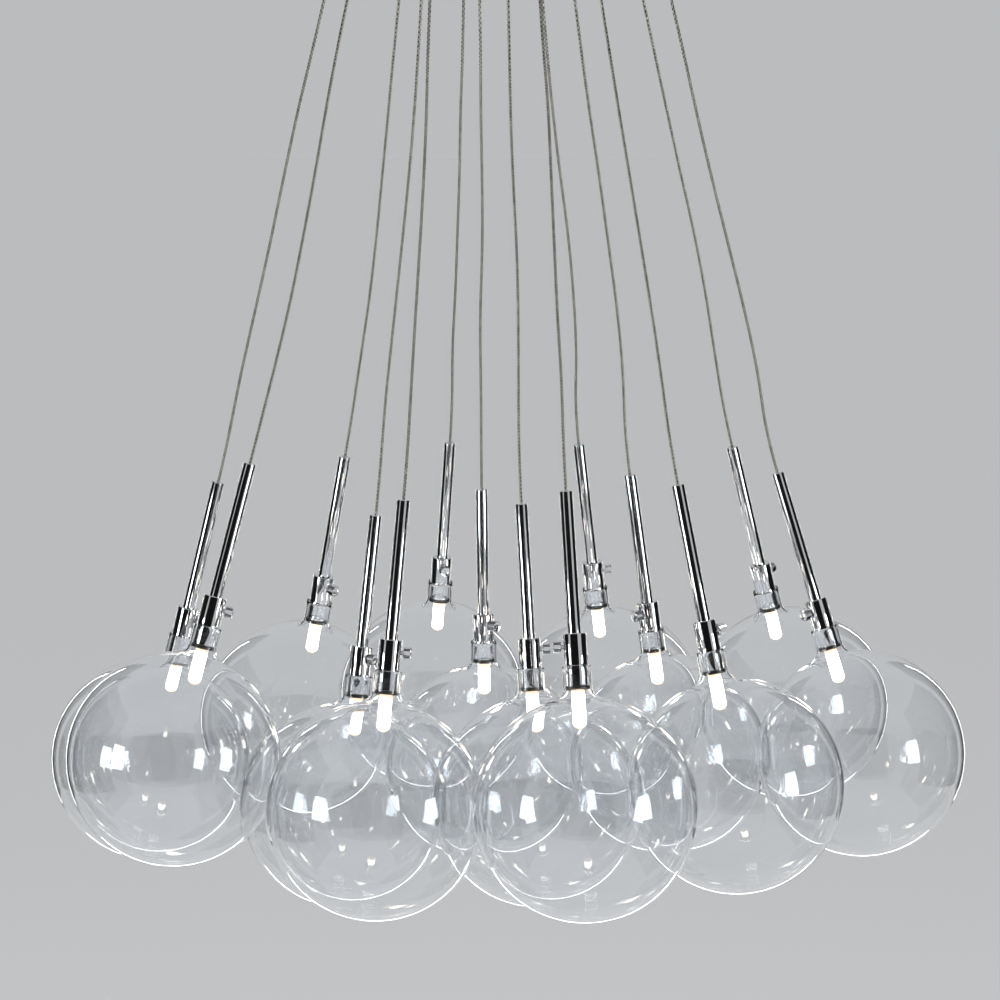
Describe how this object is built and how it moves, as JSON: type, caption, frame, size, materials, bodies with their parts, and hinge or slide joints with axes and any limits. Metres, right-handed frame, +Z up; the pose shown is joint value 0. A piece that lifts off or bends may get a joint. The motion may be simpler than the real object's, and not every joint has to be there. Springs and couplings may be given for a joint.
{
  "type": "cluster pendant",
  "caption": "Ceiling light: a crowd of clear glass globes, each with a small bright lamp, hung close together on thin braided cables and chrome stems from one round canopy.",
  "frame": {"origin": "centre of the canopy's ceiling face", "axes": "+Z up into the ceiling, +X to the right and +Y away from someone facing the front, as in the picture"},
  "size_m": [0.7119, 0.7222, 0.763],
  "materials": {
    "clear_glass": "clear blown glass",
    "lamp_glass": "lit capsule lamp",
    "polished_chrome": "mirror polished",
    "braided_cable": "fine metal braid",
    "plated_steel": "zinc plated",
    "driver_plastic": "moulded, matt"
  },
  "bodies": {
    "root": {"canopy_cover": "polished_chrome", "ceiling_plate": "plated_steel", "canopy_fittings": "polished_chrome", "lamp_driver": "driver_plastic", "cable_04": "braided_cable", "cable_07": "braided_cable", "cable_08": "braided_cable", "cable_11": "braided_cable"},
    "pendant_01": {"stem_01": "polished_chrome", "lamp_01": "lamp_glass", "globe_01": "clear_glass"},
    "drop_01": {"cable_01": "braided_cable"},
    "pendant_02": {"stem_02": "polished_chrome", "lamp_02": "lamp_glass", "globe_02": "clear_glass"},
    "drop_02": {"cable_02": "braided_cable"},
    "pendant_03": {"stem_03": "polished_chrome", "lamp_03": "lamp_glass", "globe_03": "clear_glass"},
    "drop_03": {"cable_03": "braided_cable"},
    "pendant_04": {"stem_04": "polished_chrome", "lamp_04": "lamp_glass", "globe_04": "clear_glass"},
    "pendant_05": {"stem_05": "polished_chrome", "lamp_05": "lamp_glass", "globe_05": "clear_glass"},
    "drop_05": {"cable_05": "braided_cable"},
    "pendant_06": {"stem_06": "polished_chrome", "lamp_06": "lamp_glass", "globe_06": "clear_glass"},
    "drop_06": {"cable_06": "braided_cable"},
    "pendant_07": {"stem_07": "polished_chrome", "lamp_07": "lamp_glass", "globe_07": "clear_glass"},
    "pendant_08": {"stem_08": "polished_chrome", "lamp_08": "lamp_glass", "globe_08": "clear_glass"},
    "pendant_09": {"stem_09": "polished_chrome", "lamp_09": "lamp_glass", "globe_09": "clear_glass"},
    "drop_09": {"cable_09": "braided_cable"},
    "pendant_10": {"stem_10": "polished_chrome", "lamp_10": "lamp_glass", "globe_10": "clear_glass"},
    "drop_10": {"cable_10": "braided_cable"},
    "pendant_11": {"stem_11": "polished_chrome", "lamp_11": "lamp_glass", "globe_11": "clear_glass"},
    "pendant_12": {"stem_12": "polished_chrome", "lamp_12": "lamp_glass", "globe_12": "clear_glass"},
    "drop_12": {"cable_12": "braided_cable"},
    "pendant_13": {"stem_13": "polished_chrome", "lamp_13": "lamp_glass", "globe_13": "clear_glass"},
    "drop_13": {"cable_13": "braided_cable"},
    "pendant_14": {"stem_14": "polished_chrome", "lamp_14": "lamp_glass", "globe_14": "clear_glass"},
    "drop_14": {"cable_14": "braided_cable"}
  },
  "joints": [
    {"name": "swing_01", "type": "hinge", "parent": "root", "child": "drop_01", "pos_m": [-0.132, 0.00693, -0.052], "axis": [0.0521, 0.9986, 0], "range_deg": [0, 15]},
    {"name": "turn_01", "type": "hinge", "parent": "drop_01", "child": "pendant_01", "pos_m": [-0.21934, 0.00891, -0.43522], "axis": [0.237, -0.0272, 0.9711], "range_deg": [-180, 180]},
    {"name": "swing_02", "type": "hinge", "parent": "root", "child": "drop_02", "pos_m": [-0.11105, -0.06501, -0.052], "axis": [-0.5053, 0.8629, 0], "range_deg": [0, 15]},
    {"name": "turn_02", "type": "hinge", "parent": "drop_02", "child": "pendant_02", "pos_m": [-0.18572, -0.11478, -0.40766], "axis": [0.2488, 0.1249, 0.9605], "range_deg": [-180, 180]},
    {"name": "swing_03", "type": "hinge", "parent": "root", "child": "drop_03", "pos_m": [-0.07805, 0.066, -0.052], "axis": [0.6456, 0.7636, 0], "range_deg": [0, 15]},
    {"name": "turn_03", "type": "hinge", "parent": "drop_03", "child": "pendant_03", "pos_m": [-0.12491, 0.10508, -0.42549], "axis": [0.1775, -0.1678, 0.9697], "range_deg": [-180, 180]},
    {"name": "turn_04", "type": "hinge", "parent": "root", "child": "pendant_04", "pos_m": [-0.09601, -0.01529, -0.45841], "axis": [0.1062, 0.0605, 0.9925], "range_deg": [-180, 180]},
    {"name": "swing_05", "type": "hinge", "parent": "root", "child": "drop_05", "pos_m": [-0.05099, -0.09504, -0.052], "axis": [-0.912, 0.4102, 0], "range_deg": [0, 15]},
    {"name": "turn_05", "type": "hinge", "parent": "drop_05", "child": "pendant_05", "pos_m": [-0.07027, -0.17033, -0.42851], "axis": [0.0875, 0.1622, 0.9829], "range_deg": [-180, 180]},
    {"name": "swing_06", "type": "hinge", "parent": "root", "child": "drop_06", "pos_m": [-0.02904, 0.13299, -0.052], "axis": [0.9778, 0.2094, 0], "range_deg": [0, 15]},
    {"name": "turn_06", "type": "hinge", "parent": "drop_06", "child": "pendant_06", "pos_m": [-0.04228, 0.24257, -0.42766], "axis": [0.0694, -0.1966, 0.978], "range_deg": [-180, 180]},
    {"name": "turn_07", "type": "hinge", "parent": "root", "child": "pendant_07", "pos_m": [-0.0147, 0.08333, -0.44931], "axis": [-0.012, -0.0778, 0.9969], "range_deg": [-180, 180]},
    {"name": "turn_08", "type": "hinge", "parent": "root", "child": "pendant_08", "pos_m": [0.01621, -0.06576, -0.44354], "axis": [-0.0565, 0.116, 0.9916], "range_deg": [-180, 180]},
    {"name": "swing_09", "type": "hinge", "parent": "root", "child": "drop_09", "pos_m": [0.02805, -0.12606, -0.052], "axis": [-0.9796, -0.2011, 0], "range_deg": [0, 15]},
    {"name": "turn_09", "type": "hinge", "parent": "drop_09", "child": "pendant_09", "pos_m": [0.04695, -0.22422, -0.4159], "axis": [-0.0574, 0.2247, 0.9727], "range_deg": [-180, 180]},
    {"name": "swing_10", "type": "hinge", "parent": "root", "child": "drop_10", "pos_m": [0.033, 0.10296, -0.052], "axis": [0.9303, -0.3668, 0], "range_deg": [0, 15]},
    {"name": "turn_10", "type": "hinge", "parent": "drop_10", "child": "pendant_10", "pos_m": [0.06528, 0.18776, -0.42387], "axis": [-0.1138, -0.156, 0.9812], "range_deg": [-180, 180]},
    {"name": "turn_11", "type": "hinge", "parent": "root", "child": "pendant_11", "pos_m": [0.10165, 0.02245, -0.43107], "axis": [-0.1385, -0.0425, 0.9894], "range_deg": [-180, 180]},
    {"name": "swing_12", "type": "hinge", "parent": "root", "child": "drop_12", "pos_m": [0.07293, -0.07293, -0.052], "axis": [-0.6856, -0.728, 0], "range_deg": [0, 15]},
    {"name": "turn_12", "type": "hinge", "parent": "drop_12", "child": "pendant_12", "pos_m": [0.1311, -0.13729, -0.42099], "axis": [-0.1895, 0.1006, 0.9767], "range_deg": [-180, 180]},
    {"name": "swing_13", "type": "hinge", "parent": "root", "child": "drop_13", "pos_m": [0.11006, 0.06996, -0.052], "axis": [0.5345, -0.8452, 0], "range_deg": [0, 15]},
    {"name": "turn_13", "type": "hinge", "parent": "drop_13", "child": "pendant_13", "pos_m": [0.18753, 0.11349, -0.41824], "axis": [-0.2365, -0.1656, 0.9574], "range_deg": [-180, 180]},
    {"name": "swing_14", "type": "hinge", "parent": "root", "child": "drop_14", "pos_m": [0.12705, -0.01699, -0.052], "axis": [-0.1351, -0.9908, 0], "range_deg": [0, 15]},
    {"name": "turn_14", "type": "hinge", "parent": "drop_14", "child": "pendant_14", "pos_m": [0.21369, -0.02094, -0.4248], "axis": [-0.2884, 0.0707, 0.9549], "range_deg": [-180, 180]}
  ]
}
